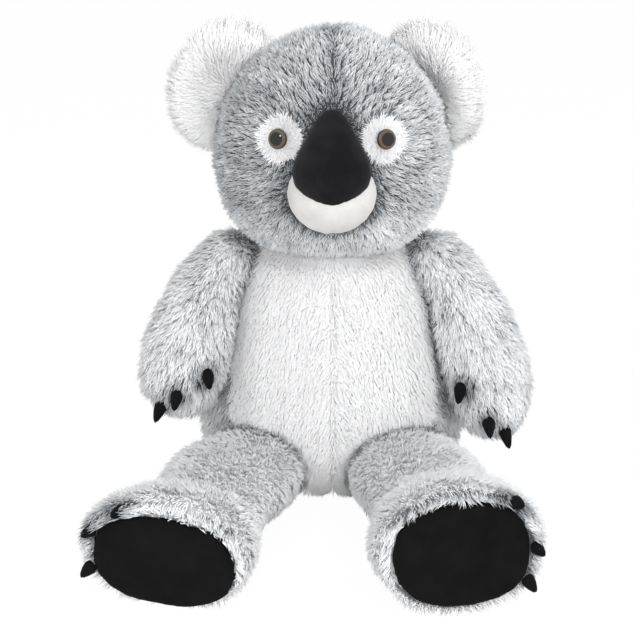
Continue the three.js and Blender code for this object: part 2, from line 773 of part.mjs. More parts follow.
// Where a sole lies: across the end of the leg, a little below its middle
function soleSeat(side, form) {
  const forward = form.spine.getTangentAt(1);
  const across = vector(1, 0, 0).addScaledVector(forward, -forward.x).normalize();
  across.applyAxisAngle(forward, side.footRoll);
  const up = forward.clone().cross(across);
  const rim = form.profile.getPoint(form.shareAt(FOOT_RIM_AT));
  return {
    forward,
    across,
    up,
    centre: form.spine.getPointAt(1).addScaledVector(up, -side.soleDrop),
    halfWidth: rim.y * form.halfWidth - side.soleRim,
    halfHeight: rim.z * form.halfDepth - SOLE_UNDER_RIM,
  };
}

// The edge of an oval with full corners, at an angle from its middle
function ovalPoint(halfWidth, halfHeight, angle) {
  const across = Math.cos(angle);
  const up = Math.sin(angle);
  const fullness = Math.abs(across) ** SOLE_FULLNESS + Math.abs(up) ** SOLE_FULLNESS;
  const reach = fullness ** (-1 / SOLE_FULLNESS);
  return new THREE.Vector2(halfWidth * reach * across, halfHeight * reach * up);
}

// A sole: a full oval with rounded edges
function soleSolid({ forward, across, up, centre, halfWidth, halfHeight }, grow) {
  const edge = [];
  for (let side = 0; side < SOLE_SIDES; side += 1) {
    const angle = (2 * Math.PI * side) / SOLE_SIDES;
    edge.push(ovalPoint(halfWidth - SOLE_BEVEL + grow, halfHeight - SOLE_BEVEL + grow, angle));
  }
  const slab = new THREE.ExtrudeGeometry(new THREE.Shape(edge), {
    depth: PANEL_WALL + SOLE_CROWN - 2 * SOLE_BEVEL + grow,
    bevelThickness: SOLE_BEVEL,
    bevelSize: SOLE_BEVEL,
    bevelSegments: 1,
  });
  slab.translate(0, 0, SOLE_BEVEL - PANEL_WALL - grow / 2);
  return solid(slab.applyMatrix4(new THREE.Matrix4().makeBasis(across, up, forward).setPosition(centre)));
}

function buildLeg(side) {
  const hip = hipOf(side);
  const form = legForm(side);
  const seat = soleSeat(side, form);
  const { forward } = seat;
  const shape = (grow, mesh) =>
    form
      .solid(mesh, grow)
      .add(ball(hip, HIP_RADIUS, grow, mesh, HIP_HALF_WIDTH))
      .intersect(beyond(vector(0, 0, -grow), vector(0, 0, 1)));
  const { shell, fill } = stuffed(shape, LEG_MESH);
  const soleRoom = soleSolid(seat, 2 * SEAM_GAP);
  const inner = vector(-side.sign, 0, 0).addScaledVector(forward, side.sign * forward.x).normalize();
  const seam = (direction) => beyond(hip.clone().addScaledVector(direction, SEAM_GAP / 2), direction);
  const skin = shell.subtract(soleRoom);
  add(`leg_panel_inner_${side.name}`, skin.intersect(seam(inner)), frostedGrey);
  add(`leg_panel_outer_${side.name}`, skin.intersect(seam(inner.clone().negate())), frostedGrey);
  const fillEnd = seat.centre.clone().addScaledVector(forward, -PANEL_WALL - FILL_GAP);
  add(`leg_filling_${side.name}`, fill.subtract(beyond(fillEnd, forward)), fibreFill);
  add(`sole_${side.name}`, soleSolid(seat, 0).intersect(aboveFloor), blackVelour);
  const limb = form.solid(LEG_MESH.skin, SEAM_GAP).add(soleRoom);
  side.toeClaws.forEach((angle, i) => {
    const edge = ovalPoint(seat.halfWidth + CLAW_RADIUS, seat.halfHeight + CLAW_RADIUS, angle);
    const out = seat.across.clone().multiplyScalar(edge.x).addScaledVector(seat.up, edge.y);
    const axis = out.clone().normalize().addScaledVector(forward, TOE_CLAW_LEAN);
    axis.addScaledVector(seat.up, -TOE_CLAW_DROOP);
    add(`toe_claw_${side.name}_${i + 1}`, claw(out.add(seat.centre), axis, limb), blackVelour);
  });
}

buildBody();
buildHead();
for (const side of SIDES) {
  buildArm(side);
  buildLeg(side);
}

export default koala;
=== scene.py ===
# A large sitting plush koala: knitted backing cloth with frosted pile, stuffed and sewn, with safety eyes.
# Metres, +Z up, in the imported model's own frame. The face looks along -Y.
import json
import math

import bmesh
import bpy
import numpy as np
from mathutils import Matrix, Vector, noise
from mathutils.bvhtree import BVHTree


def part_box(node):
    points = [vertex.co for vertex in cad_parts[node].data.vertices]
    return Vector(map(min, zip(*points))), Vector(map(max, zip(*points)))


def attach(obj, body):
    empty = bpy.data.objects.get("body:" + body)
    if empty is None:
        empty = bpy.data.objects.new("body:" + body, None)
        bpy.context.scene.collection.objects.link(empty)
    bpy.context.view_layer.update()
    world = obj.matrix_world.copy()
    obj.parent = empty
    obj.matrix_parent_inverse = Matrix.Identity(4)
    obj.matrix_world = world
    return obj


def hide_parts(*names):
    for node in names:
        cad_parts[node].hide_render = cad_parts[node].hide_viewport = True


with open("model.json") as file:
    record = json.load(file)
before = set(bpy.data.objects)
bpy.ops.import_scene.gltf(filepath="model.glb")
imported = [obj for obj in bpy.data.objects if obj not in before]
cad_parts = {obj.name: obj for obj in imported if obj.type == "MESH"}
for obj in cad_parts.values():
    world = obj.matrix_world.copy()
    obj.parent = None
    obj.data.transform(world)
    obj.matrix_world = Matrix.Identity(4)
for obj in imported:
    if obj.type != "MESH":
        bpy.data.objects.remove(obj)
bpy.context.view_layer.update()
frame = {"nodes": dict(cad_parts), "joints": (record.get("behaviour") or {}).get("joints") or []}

# Studio
# The camera looks slightly down from in front, as in a shop's photograph. The floor and the world are white
# to the camera, and the lamps are large and soft.
CAMERA_PLACE = (-0.0245, -2.4, 1.0)
CAMERA_PITCH = math.radians(72.9)
CAMERA_LENS = 89.1  # millimetres
WORLD_LIGHT = 0.72
LAMPS = [  # name, place, size, watts
    ("key", (1.7, -2.4, 2.2), 1.8, 58),
    ("fill", (-2.1, -2.2, 1.5), 2.2, 27),
    ("front", (0.1, -3.2, 0.7), 1.8, 18),
    ("top", (0.2, 0.3, 2.8), 1.8, 32),
    ("glint", (-0.9, -2.4, 1.9), 0.35, 14),  # the only lamp that the eyes mirror
]
LAMP_TARGET = Vector((0, -0.1, 0.35))
FLOOR_SIZE = 60
FLOOR_COLOUR = (0.93, 0.93, 0.93, 1)
FLOOR_WHITE = 0.97  # the share of plain white in the floor that the camera sees
PICTURE_RAYS = ("Is Camera Ray", "Is Glossy Ray", "Is Transmission Ray")

scene = bpy.context.scene
scene.view_settings.view_transform = "Standard"


def placed(name, data):
    """A new object in the scene."""
    thing = bpy.data.objects.new(name, data)
    scene.collection.objects.link(thing)
    return thing


def add_node(tree, kind, settings=None, inputs=None):
    """A new node with its settings and inputs. An input is a value or another node's socket."""
    made = tree.nodes.new(kind)
    for name, value in (settings or {}).items():
        setattr(made, name, value)
    for name, value in (inputs or {}).items():
        if isinstance(value, bpy.types.NodeSocket):
            tree.links.new(value, made.inputs[name])
        else:
            made.inputs[name].default_value = value
    return made


def ramp(tree, value, span, ends=(0, 1), kind="LINEAR"):
    """A socket that goes from one end to the other while a value goes over a span."""
    return add_node(tree, "ShaderNodeMapRange", {"interpolation_type": kind}, {
        "Value": value, "From Min": span[0], "From Max": span[1], "To Min": ends[0], "To Max": ends[1]
    }).outputs[0]


def new_finish(name, settings):
    """A new material, its node tree and its shader, with the shader's plain values set."""
    finish = bpy.data.materials.new(name)
    finish.use_nodes = True
    surface = finish.node_tree.nodes["Principled BSDF"]
    for socket, value in settings.items():
        surface.inputs[socket].default_value = value
    return finish, finish.node_tree, surface


def seen_directly(tree):
    """A socket that is 1 for the rays that make up the picture's background."""
    path = add_node(tree, "ShaderNodeLightPath")
    total = path.outputs[PICTURE_RAYS[0]]
    for name in PICTURE_RAYS[1:]:
        either = {0: total, 1: path.outputs[name]}
        total = add_node(tree, "ShaderNodeMath", {"operation": "MAXIMUM"}, either).outputs[0]
    return total


camera = placed("camera", bpy.data.cameras.new("camera"))
camera.location = CAMERA_PLACE
camera.rotation_euler = (CAMERA_PITCH, 0, 0)
camera.data.lens = CAMERA_LENS
scene.camera = camera

world = bpy.data.worlds.new("studio")
world.use_nodes = True
scene.world = world
tree = world.node_tree
background = tree.nodes["Background"]
background.inputs["Color"].default_value = (1, 1, 1, 1)
strength = ramp(tree, seen_directly(tree), (0, 1), (WORLD_LIGHT, 1))
tree.links.new(strength, background.inputs["Strength"])

for name, place, size, watts in LAMPS:
    lamp = placed(name, bpy.data.lights.new(name, "AREA"))
    lamp.data.size = size
    lamp.data.energy = watts
    lamp.location = place
    lamp.rotation_euler = (LAMP_TARGET - lamp.location).to_track_quat("-Z", "Y").to_euler()
    lamp.visible_glossy = name == "glint"
    lamp.visible_diffuse = name != "glint"

floor_paint, tree, paint = new_finish("floor_paint", {"Base Color": FLOOR_COLOUR, "Roughness": 0.9})
white = {0: seen_directly(tree), 1: FLOOR_WHITE}
share = add_node(tree, "ShaderNodeMath", {"operation": "MULTIPLY"}, white)
glow = add_node(tree, "ShaderNodeEmission")
mix = add_node(tree, "ShaderNodeMixShader", inputs={
    "Fac": share.outputs[0], 1: paint.outputs[0], 2: glow.outputs[0]
})
tree.links.new(mix.outputs[0], tree.nodes["Material Output"].inputs["Surface"])
bpy.ops.mesh.primitive_plane_add(size=FLOOR_SIZE)
floor = bpy.context.object
floor.name = "floor"
floor.data.materials.append(floor_paint)

# Stuffed skins
# Each body is one tight skin of knitted backing cloth, cut from panels and stuffed. The skins are fair
# copies of the solids, rounded and drawn in by the depth of their standing pile.
SIDES = {"right": -1, "left": 1}
WELD = 0.00002
SKIN_VOXEL = 0.006
SKIN_ROUNDING = 8  # smoothing passes
FORMS = {
    "torso": ["seat_panel"] + [f"{kind}_panel_{side}" for side in SIDES for kind in ("belly", "back")],
    "head": [f"head_panel_{side}" for side in SIDES] + [f"eye_patch_{side}" for side in SIDES],
}
SEWN_ON = {  # groups of nodes that the pile gets darker round, and round a trim shorter too
    "trim": [["nose", "muzzle"]],
    "button": [[f"eye_{side}" for side in SIDES]],
}
for side in SIDES:
    FORMS[f"{side}_ear"] = [f"ear_{half}_{side}" for half in ("front", "back")]
    FORMS[f"{side}_arm"] = [f"arm_panel_{half}_{side}" for half in ("front", "back")]
    FORMS[f"{side}_leg"] = [f"leg_panel_{half}_{side}" for half in ("inner", "outer")] + [f"sole_{side}"]
    for limb in ("hand", "toe"):
        SEWN_ON["button"].append([f"{limb}_claw_{side}_{number}" for number in (1, 2, 3)])


def joined(nodes):
    """A mesh of CAD nodes, with their loose triangles welded."""
    welded = bmesh.new()
    for node in nodes:
        welded.from_mesh(frame["nodes"][node].data)
    bmesh.ops.remove_doubles(welded, verts=welded.verts, dist=WELD)
    mesh = bpy.data.meshes.new("joined")
    welded.to_mesh(mesh)
    welded.free()
    return mesh


def applied(thing):
    """A thing's mesh with its modifiers applied. The thing itself is removed."""
    graph = bpy.context.evaluated_depsgraph_get()
    mesh = bpy.data.meshes.new_from_object(thing.evaluated_get(graph))
    bpy.data.objects.remove(thing)
    return mesh


def outer_shell(mesh):
    """Keeps only the largest of a mesh's separate surfaces."""
    shell = bmesh.new()
    shell.from_mesh(mesh)
    shell.faces.ensure_lookup_table()
    left = set(shell.faces)
    islands = []
    while left:
        island, edge = set(), [left.pop()]
        while edge:
            face = edge.pop()
            island.add(face)
            for line in face.edges:
                for other in line.link_faces:
                    if other in left:
                        left.remove(other)
                        edge.append(other)
        islands.append(island)
    kept = max(islands, key=len)
    bmesh.ops.delete(shell, geom=[face for face in shell.faces if face not in kept], context="FACES")
    bmesh.ops.recalc_face_normals(shell, faces=shell.faces)
    shell.to_mesh(mesh)
    shell.free()


def read(things, key):
    """A vector of each vertex or face of a mesh, as rows."""
    found = np.empty(3 * len(things), np.float32)
    things.foreach_get(key, found)
    return found.reshape(-1, 3).astype(float)


def places(mesh):
    return read(mesh.vertices, "co")


def normals(mesh):
    return read(mesh.vertex_normals, "vector")


def move(mesh, at):
    """Puts a mesh's vertices at new places."""
    mesh.vertices.foreach_set("co", at.astype(np.float32).ravel())
    mesh.update()


def rounded(nodes, voxel, passes, name):
    """A smooth closed copy of CAD nodes, as one surface that fills the same box."""
    thing = placed(name, joined(nodes))
    remesh = thing.modifiers.new("remesh", "REMESH")
    remesh.mode = "VOXEL"
    remesh.voxel_size = voxel
    smooth = thing.modifiers.new("smooth", "SMOOTH")
    smooth.factor = 0.5
    smooth.iterations = passes
    mesh = applied(thing)
    outer_shell(mesh)
    at = places(mesh)
    boxes = [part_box(node) for node in nodes]
    low = np.min([box[0] for box in boxes], axis=0)
    high = np.max([box[1] for box in boxes], axis=0)
    move(mesh, low + (at - at.min(0)) / (at.max(0) - at.min(0)) * (high - low))
    return mesh


def unit(vectors):
    return vectors / np.maximum(np.linalg.norm(vectors, axis=-1, keepdims=True), 1e-9)


def eased(values, low, high):
    """0 below low, 1 above high and smooth between them."""
    share = np.clip((values - low) / (high - low), 0, 1)
    return share * share * (3 - 2 * share)


def surface_of(mesh):
    """A mesh's faces, to measure distances from."""
    return BVHTree.FromPolygons(
        [vertex.co.copy() for vertex in mesh.vertices], [tuple(face.vertices) for face in mesh.polygons]
    )


skins = {name: rounded(nodes, SKIN_VOXEL, SKIN_ROUNDING, name) for name, nodes in FORMS.items()}

# The stuffed core of an ear is a smaller lens in the middle of the whole ear
EAR_CORE = 0.79  # share of the ear's outline, inside its long pile
EAR_CORE_THICKNESS = 0.62
EAR_ROUNDNESS = 0.93  # the ear's width against its height
EAR_ROOT_IN = 0.032  # from the middle of the ear back to where its pile fans out from
EAR_ROOT_DOWN = 0.02
ear_roots = {}
for side, sign in SIDES.items():
    at = places(skins[f"{side}_ear"])
    facing = np.linalg.svd(at - at.mean(0), full_matrices=False)[2][2]
    facing = unit(np.array([facing[0], facing[1], 0]) * -np.sign(facing[1]))
    out = np.array([-facing[1], facing[0], 0]) * sign
    up = np.array([0, 0, 1])
    half = np.ptp(at @ up) / 2
    middle = out * ((at @ out).max() - EAR_ROUNDNESS * half) + up * ((at @ up).max() - half)
    root = middle + facing * np.median(at @ facing) - EAR_ROOT_IN * out - EAR_ROOT_DOWN * up
    flat = (at - root) - np.outer((at - root) @ facing, facing)
    move(skins[f"{side}_ear"], root + EAR_CORE * flat + EAR_CORE_THICKNESS * ((at - root) - flat))
    ear_roots[side] = root

surfaces = {name: surface_of(skin) for name, skin in skins.items()}
sewn_on = {kind: [surface_of(joined(nodes)) for nodes in groups] for kind, groups in SEWN_ON.items()}


def room_round(trees, points):
    """How far points are from the nearest of some surfaces."""
    return np.array([min(tree.find_nearest(Vector(point))[3] for tree in trees) for point in points])


# Pile
# The cloth's fibres stand in tufts. Each strand is a thin bent spindle, dark at its root and pale at its tip
# on the frosted cloth. The strands spread over a skin by its own comb, length and cover.
STRAND_BEND_SHARES = (0.3, 0.62)  # of a strand's reach along the comb and of its height
STRAND_BELLY_SHARES = (0.08, -0.06)  # from its bend to its under side
STRAND_ALONG = [0, 0.55, 0.55, 0.55, 1]  # from root to tip, at each vertex
STRAND_ACROSS = [0, 0.5, -0.5, 0, 0]
LENGTH_SEED = 5
TONE_SEED = 7
STRAY_SEED = 11  # and the next two
SCATTER_TRIES = 2.5  # for each strand that the spacing has room for
SWIRL_SCALE = 0.4  # against the tufts' own
SWIRL_DETAIL = 1.5
MOST_REACH = 0.94  # share of a strand's length that may lie along the skin
TONE_SPREAD = 0.16  # from strand to strand
MAP_EDGE = 0.02  # left free round the colour map
STRAND_ON_MAP = 0.006  # a strand's width there
BACKING_TONES = (0.1, 0.8)  # least and most
BACKING_ROOT = 0.01
BACKING_SPREAD = (0.15, 0.008)  # across and up the map, for each metre
FACES_UP = (-0.5, 0.1)  # own up along the skin's, over which a face takes on the skin's shading
FLOOR_GAP = 0.0006
BAKE_MAP = "OFBake"
PILE_INPUTS = {
    "Strand": "Object",
    "Spacing": "Float",
    "Width": "Float",
    "Tuft": "Float",
    "Pull": "Float",
    "Stray": "Float",
    "Swirl": "Float",
    "Uneven": "Float",
    "Own Shade": "Float",
    "Seed": "Int",
    "Cloth": "Material",
}
PILE_ATTRIBUTES = ("comb", "up", "length", "lean", "tone", "cover", "shade", "along", "across")
USUAL_PILE = dict(pull=0.5, stray=0.16, swirl=0.5, uneven=0.35, own_shade=0.35)

bend_along, bend_up = STRAND_BEND_SHARES
strand = bpy.data.meshes.new("strand")
strand.from_pydata(
    [
        (0, 0, 0),
        (bend_along, 0.5, bend_up),
        (bend_along, -0.5, bend_up),
        (bend_along + STRAND_BELLY_SHARES[0], 0, bend_up + STRAND_BELLY_SHARES[1]),
        (1, 0, 1),
    ],
    [],
    [(0, 2, 1), (0, 1, 3), (0, 3, 2), (4, 1, 2), (4, 3, 1), (4, 2, 3)],
)
for name, values in (("along", STRAND_ALONG), ("across", STRAND_ACROSS)):
    strand.attributes.new(name, "FLOAT", "POINT").data.foreach_set("value", values)
strand.shade_smooth()
strand_model = placed("strand", strand)


def pile_tree():
    """Strands over a skin, from its named comb, up, length, lean, tone and cover."""
    tree = bpy.data.node_groups.new("pile", "GeometryNodeTree")
    tree.interface.new_socket("Skin", in_out="INPUT", socket_type="NodeSocketGeometry")
    for name, kind in PILE_INPUTS.items():
        tree.interface.new_socket(name, in_out="INPUT", socket_type=f"NodeSocket{kind}")
    tree.interface.new_socket("Piece", in_out="OUTPUT", socket_type="NodeSocketGeometry")
    given = add_node(tree, "NodeGroupInput").outputs

    def node(kind, settings=None, inputs=None):
        return add_node(tree, kind, settings, inputs)

    def number(operation, *values):
        return node("ShaderNodeMath", {"operation": operation}, dict(enumerate(values))).outputs[0]

    def vector(operation, *values):
        made = node("ShaderNodeVectorMath", {"operation": operation}, dict(enumerate(values)))
        return made.outputs["Value" if operation in ("DOT_PRODUCT", "LENGTH") else "Vector"]

    def times(scaled, by):
        return node("ShaderNodeVectorMath", {"operation": "SCALE"}, {0: scaled, "Scale": by}).outputs[0]

    def xyz(*values):
        return node("ShaderNodeCombineXYZ", inputs=dict(enumerate(values))).outputs[0]

    def held(value, low, high):
        return number("MINIMUM", number("MAXIMUM", value, low), high)

    def named(name, kind="FLOAT"):
        return node("GeometryNodeInputNamedAttribute", {"data_type": kind}, {"Name": name}).outputs[0]

    def drawn(low, high, offset):
        """A random number for each strand, with an offset from the pile's seed."""
        limits = {2: low, 3: high, "Seed": number("ADD", given["Seed"], offset)}
        return node("FunctionNodeRandomValue", {"data_type": "FLOAT"}, limits).outputs[1]

    def stored(geometry, name, value, kind, domain):
        return node("GeometryNodeStoreNamedAttribute", {"data_type": kind, "domain": domain}, {
            "Geometry": geometry, "Name": name, "Value": value
        }).outputs[0]

    # Where the strands grow
    per_area = number("DIVIDE", 1.0, number("MULTIPLY", given["Spacing"], given["Spacing"]))
    scatter = node("GeometryNodeDistributePointsOnFaces", {"distribute_method": "POISSON"}, {
        "Mesh": given["Skin"],
        "Distance Min": given["Spacing"],
        "Density Max": number("MULTIPLY", per_area, SCATTER_TRIES),
        "Density Factor": named("cover"),
        "Seed": given["Seed"],
    })

    # How each one lies: by the comb, with a swirl, drawn to the middle of its tuft, and a little astray
    place = node("GeometryNodeInputPosition").outputs[0]
    up = vector("NORMALIZE", named("up", "FLOAT_VECTOR"))
    comb = vector("NORMALIZE", named("comb", "FLOAT_VECTOR"))
    length = named("length")
    tufts = node("ShaderNodeTexVoronoi", {"voronoi_dimensions": "3D"}, {
        "Vector": place, "Scale": number("DIVIDE", 1.0, given["Tuft"])
    })
    to_middle = vector("SUBTRACT", tufts.outputs["Position"], place)
    pull = times(to_middle, number("DIVIDE", given["Pull"], length))
    waves = node("ShaderNodeTexNoise", {"noise_dimensions": "3D"}, {
        "Vector": place, "Scale": number("DIVIDE", SWIRL_SCALE, given["Tuft"]), "Detail": SWIRL_DETAIL
    })
    swirl = times(vector("SUBTRACT", waves.outputs["Color"], (0.5, 0.5, 0.5)), given["Swirl"])
    stray = xyz(*[
        number("MULTIPLY", drawn(-1.0, 1.0, STRAY_SEED + axis), given["Stray"]) for axis in range(3)
    ])
    flat = vector("ADD", times(comb, named("lean")), vector("ADD", swirl, vector("ADD", pull, stray)))
    flat = vector("SUBTRACT", flat, times(up, vector("DOT_PRODUCT", flat, up)))
    turn = node("FunctionNodeAxesToRotation", {"primary_axis": "Z", "secondary_axis": "X"}, {0: up, 1: flat})
    reach = number("MINIMUM", vector("LENGTH", flat), MOST_REACH)
    rise = number("SQRT", number("SUBTRACT", 1.0, number("MULTIPLY", reach, reach)))
    size = number("MULTIPLY", length, drawn(number("SUBTRACT", 1.0, given["Uneven"]), 1.0, LENGTH_SEED))

    # The strands themselves
    tone = number("ADD", named("tone"), drawn(-TONE_SPREAD, TONE_SPREAD, TONE_SEED))
    model = node("GeometryNodeObjectInfo", inputs={"Object": given["Strand"]})
    planted = node("GeometryNodeInstanceOnPoints", inputs={
        "Points": stored(scatter.outputs["Points"], "shade", tone, "FLOAT", "POINT"),
        "Instance": model.outputs["Geometry"],
        "Rotation": turn.outputs[0],
        "Scale": xyz(number("MULTIPLY", reach, size), given["Width"], number("MULTIPLY", rise, size)),
    })
    realized = node("GeometryNodeRealizeInstances", inputs={"Geometry": planted.outputs[0]})

    # The colour map: tone across it, and from root to tip up it
    shade = held(named("shade"), MAP_EDGE, 1 - MAP_EDGE)
    across = number("ADD", shade, number("MULTIPLY", named("across"), STRAND_ON_MAP))
    along = number("ADD", number("MULTIPLY", named("along"), 1 - 2 * MAP_EDGE), MAP_EDGE)
    strands = stored(realized.outputs[0], BAKE_MAP, xyz(across, along), "FLOAT2", "CORNER")
    spot = node("ShaderNodeSeparateXYZ", inputs={0: place}).outputs
    spread_across, spread_up = BACKING_SPREAD
    across = number("ADD", held(named("tone"), *BACKING_TONES), number("MULTIPLY", spot[0], spread_across))
    along = number("ADD", BACKING_ROOT, number("MULTIPLY", number("ADD", spot[2], spot[1]), spread_up))
    backing = stored(given["Skin"], BAKE_MAP, xyz(across, along), "FLOAT2", "CORNER")
    both = node("GeometryNodeJoinGeometry")
    tree.links.new(strands, both.inputs[0])
    tree.links.new(backing, both.inputs[0])

    # Soft pile shades partly as the skin under it
    own = node("GeometryNodeInputNormal").outputs[0]
    skin_up = named("up", "FLOAT_VECTOR")
    faces_up = ramp(tree, vector("DOT_PRODUCT", own, skin_up), FACES_UP, kind="SMOOTHSTEP")
    shared = number("MULTIPLY", number("SUBTRACT", 1.0, given["Own Shade"]), faces_up)
    blend = vector("ADD", times(own, number("SUBTRACT", 1.0, shared)), times(skin_up, shared))
    lit = node("GeometryNodeSetMeshNormal", {"mode": "FREE", "domain": "CORNER"}, {
        "Mesh": both.outputs[0], "Custom Normal": vector("NORMALIZE", blend)
    })

    # Nothing reaches through the floor
    resting = xyz(spot[0], spot[1], number("MAXIMUM", spot[2], FLOOR_GAP))
    landed = node("GeometryNodeSetPosition", inputs={"Geometry": lit.outputs[0], "Position": resting})
    finished = node("GeometryNodeSetMaterial", inputs={
        "Geometry": landed.outputs[0], "Material": given["Cloth"]
    })
    tree.links.new(finished.outputs[0], add_node(tree, "NodeGroupOutput").inputs[0])
    return tree


pile = pile_tree()
pile_sockets = {
    item.name.lower().replace(" ", "_"): item.identifier
    for item in pile.interface.items_tree if item.in_out == "INPUT"
}


def grown(name, skin, **settings):
    """A finished piece: a skin mesh with its pile, by the inputs of the pile's tree."""
    thing = placed(name, skin)
    modifier = thing.modifiers.new("pile", "NODES")
    modifier.node_group = pile
    for key, value in {"strand": strand_model, **USUAL_PILE, **settings}.items():
        modifier[pile_sockets[key]] = value
    mesh = applied(thing)
    for spare in [a.name for a in mesh.attributes if a.name in PILE_ATTRIBUTES]:
        mesh.attributes.remove(mesh.attributes[spare])
    piece = placed(name, mesh)
    mesh.name = name
    return piece


def write(mesh, name, values):
    """Puts one value or vector for each vertex into a named attribute."""
    values = np.asarray(values, np.float32)
    is_vector = values.ndim == 2
    attribute = mesh.attributes.new(name, "FLOAT_VECTOR" if is_vector else "FLOAT", "POINT")
    attribute.data.foreach_set("vector" if is_vector else "value", values.ravel())


def colour_between(tree, pair, share):
    """A socket with a colour between a pair of colours or sockets."""
    ends = [end if isinstance(end, bpy.types.NodeSocket) else (*end, 1) for end in pair]
    inputs = {"A": ends[0], "B": ends[1], "Factor": share}
    return add_node(tree, "ShaderNodeMix", {"data_type": "RGBA"}, inputs).outputs["Result"]


PALE_ROOTS = 0.6  # how much sooner the palest strands turn pale, as a share of their length


def pile_cloth(name, roots, tips, turn, sheen):
    """Cloth whose strands go from a root to a tip colour, each between its pair by the strand's shade."""
    cloth, tree, surface = new_finish(name, {
        "Roughness": 0.95, "Specular IOR Level": 0.25, "Sheen Weight": sheen, "Sheen Roughness": 0.5
    })
    spot = add_node(tree, "ShaderNodeUVMap", {"uv_map": BAKE_MAP})
    shade, along = add_node(tree, "ShaderNodeSeparateXYZ", inputs={0: spot.outputs["UV"]}).outputs[:2]
    sooner = {0: shade, 1: PALE_ROOTS, 2: along}
    height = add_node(tree, "ShaderNodeMath", {"operation": "MULTIPLY_ADD"}, sooner).outputs[0]
    pair = [colour_between(tree, ends, shade) for ends in (roots, tips)]
    colour = colour_between(tree, pair, ramp(tree, height, turn, kind="SMOOTHSTEP"))
    tree.links.new(colour, surface.inputs["Base Color"])
    return cloth


frosted_grey = pile_cloth(
    "frosted_grey_pile",
    roots=((0.010, 0.011, 0.016), (0.34, 0.35, 0.37)),
    tips=((0.30, 0.32, 0.34), (0.96, 0.97, 0.98)),
    turn=(0.32, 0.62),
    sheen=0.25,
)
white_pile = pile_cloth(
    "white_pile",
    roots=((0.88, 0.88, 0.90), (0.95, 0.95, 0.96)),
    tips=((0.95, 0.95, 0.96), (0.985, 0.985, 0.99)),
    turn=(0.2, 0.6),
    sheen=0.7,
)

ROOM_FOR_PILE = 0.015  # beside another form or a trim, where the pile gets shorter
LEAST_PILE = {"trim": 0.35, "form": 0.75}  # shares of its length beside them
BARE_MARGIN = (0.0005, 0.0015)  # round all that is sewn on, over which the pile begins
DARK_MARGIN = 0.028  # round seams, trims and claws, where the pile parts and shows its dark roots
DARKER_BESIDE = {"form": 0.45, "trim": 0.45, "button": 0.7}
LUMP_SIZE = 0.06
LUMP_HEIGHT = 0.004
PATCH_SIZES = [(0.05, 0.2), (0.016, 0.25), (0.006, 0.45)]  # of paler and darker pile, and by how much
SKIN_ABOVE_FLOOR = 0.002


def wavy(points, size):
    """Smooth noise at points, between about -0.5 and 0.5."""
    return np.array([noise.noise(Vector(point) / size) for point in points])


def combed(name, inset, comb, length, lean, tone):
    """Draws a form's skin in by its pile's depth and writes how the pile lies on it. Each of the rest is one
    for the whole skin or one for each vertex."""
    skin = skins[name]
    at, out = places(skin), normals(skin)
    others = [tree for other, tree in surfaces.items() if other != name]
    room = {kind: room_round(trees, at) for kind, trees in {"form": others, **sewn_on}.items()}
    squeezed = np.minimum(*[
        np.clip(room[kind] / ROOM_FOR_PILE, least, 1) for kind, least in LEAST_PILE.items()
    ])
    tone = tone + sum(share * wavy(at, size) for size, share in PATCH_SIZES)
    for kind, darker in DARKER_BESIDE.items():
        tone = tone - darker * (1 - eased(room[kind], 0, DARK_MARGIN))
    write(skin, "comb", unit(comb - out * np.sum(comb * out, axis=1, keepdims=True)))
    write(skin, "up", out)
    write(skin, "length", length * squeezed)
    write(skin, "lean", np.full(len(at), lean))
    write(skin, "tone", tone)
    write(skin, "cover", eased(np.min(list(room.values()), axis=0), *BARE_MARGIN))
    inset = (inset + LUMP_HEIGHT * wavy(at, LUMP_SIZE)) * eased(room["form"], 0, ROOM_FOR_PILE)
    moved = at - out * inset[:, None]
    moved[:, 2] = np.maximum(moved[:, 2], SKIN_ABOVE_FLOOR)
    move(skin, moved)


def panel_of(points, nodes):
    """Which of a form's CAD panels each point is nearest to."""
    trees = [surface_of(frame["nodes"][node].data) for node in nodes]
    return np.array([
        np.argmin([tree.find_nearest(Vector(point))[3] for tree in trees]) for point in points
    ])


def cut_out(name, skin, keep):
    """A copy of a skin with only the faces that keep says."""
    part = bmesh.new()
    part.from_mesh(skin)
    part.faces.ensure_lookup_table()
    bmesh.ops.delete(part, geom=[face for face, kept in zip(part.faces, keep) if not kept], context="FACES")
    mesh = bpy.data.meshes.new(name)
    part.to_mesh(mesh)
    part.free()
    mesh.shade_smooth()
    return mesh


def dressed(form, body, looks, seed):
    """The form's panels as pieces with pile. looks gives each panel's cloth, slot and pile settings; the
    slot is not used.
    """
    skin = skins[form]
    panels = FORMS[form]
    owner = panel_of(read(skin.polygons, "center"), panels)
    for index, panel in enumerate(panels):
        if panel not in looks:
            continue
        cloth, slot, settings = looks[panel]
        part = cut_out(f"{panel}_pile", skin, owner == index)
        piece = grown(f"{panel}_pile", part, cloth=cloth, seed=seed + index, **settings)
        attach(piece, body)
        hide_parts(panel)


# Body
# Four panels and a seat: grey round the back and sides, and a soft white belly in two halves, whose pile
# parts at the seam between them.
BODY_PILE = dict(spacing=0.0021, width=0.0013, tuft=0.010, pull=0.6, swirl=0.7)
BELLY_PILE = dict(spacing=0.0014, width=0.0011, tuft=0.012, pull=0.25, swirl=0.6, own_shade=0.1)
BODY_DEPTH = 0.009  # of the standing pile
BODY_LENGTH = 0.020
BODY_TONE = 0.75
PILE_LEAN = 0.78
BELLY_SEAM_DEPTH = 0.004
BELLY_SEAM_WIDTH = 0.007
PARTING_WIDTH = 0.025  # beside the belly's seam, where the pile is combed away from it
FRONT_ENDS = (-0.02, 0.02)  # from front to back, over which the parting fades
SIDEWAYS = 0.1  # of the comb, everywhere
PARTED = 0.65  # more beside the seam


